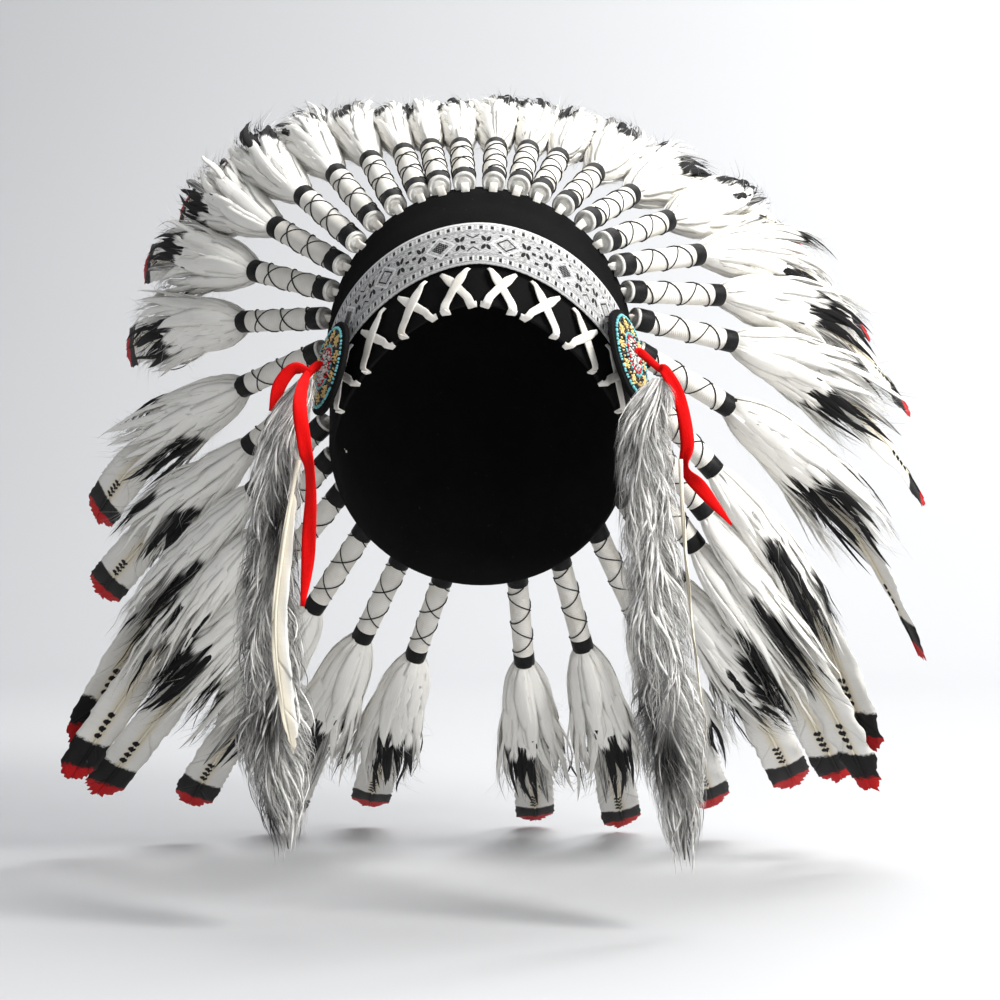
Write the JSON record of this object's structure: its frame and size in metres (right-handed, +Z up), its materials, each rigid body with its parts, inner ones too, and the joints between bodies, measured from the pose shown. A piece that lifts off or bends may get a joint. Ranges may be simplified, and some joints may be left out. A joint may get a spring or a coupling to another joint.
{
  "type": "feathered headdress",
  "caption": "Feathered headdress: felt cap and laced brow band with woven trim, beaded rosettes, fur drops, red ties and a ring of wrapped plumes with long dyed feathers.",
  "frame": {"origin": "middle of the head opening, halfway between the brow edge and the nape edge of the cap", "axes": "+Z up as worn, -Y the way the wearer faces, +X the wearer's left"},
  "size_m": [0.6001, 0.4285, 0.5171],
  "materials": {
    "felt": "black wool felt, matt",
    "trim": "heathered grey and white woven ribbon with black motifs",
    "leather": "flat white leather lace",
    "bead": "seed beads in turquoise, black, yellow, red and white",
    "feather": "white wrapped shaft with black cord, white plume with black tufts, white feather with black dots and red tip",
    "fur": "mottled grey, black and white pile",
    "quill": "pale feather with a cream shaft",
    "ribbon": "red cloth ribbon"
  },
  "bodies": {
    "root": {"cap": "felt", "brow_band": "felt", "trim_ribbon": "trim", "lace_cross_left_1": "leather", "lace_cross_left_2": "leather", "lace_cross_left_3": "leather", "lace_cross_left_4": "leather", "lace_cross_right_1": "leather", "lace_cross_right_2": "leather", "lace_cross_right_3": "leather", "lace_cross_right_4": "leather", "rosette_left": "bead", "fur_drop_left": "fur", "quill_left": "quill", "tie_ribbon_left": "ribbon", "rosette_right": "bead", "fur_drop_right": "fur", "quill_right": "quill", "tie_ribbon_right": "ribbon", "feather_left_01": "feather", "feather_left_02": "feather", "feather_left_03": "feather", "feather_left_04": "feather", "feather_left_05": "feather", "feather_left_06": "feather", "feather_left_07": "feather", "feather_left_08": "feather", "feather_left_09": "feather", "feather_left_10": "feather", "feather_left_11": "feather", "feather_left_12": "feather", "feather_left_13": "feather", "feather_left_14": "feather", "feather_left_15": "feather", "feather_left_16": "feather", "feather_left_17": "feather", "feather_right_01": "feather", "feather_right_02": "feather", "feather_right_03": "feather", "feather_right_04": "feather", "feather_right_05": "feather", "feather_right_06": "feather", "feather_right_07": "feather", "feather_right_08": "feather", "feather_right_09": "feather", "feather_right_10": "feather", "feather_right_11": "feather", "feather_right_12": "feather", "feather_right_13": "feather", "feather_right_14": "feather", "feather_right_15": "feather", "feather_right_16": "feather", "feather_right_17": "feather"}
  },
  "joints": []
}
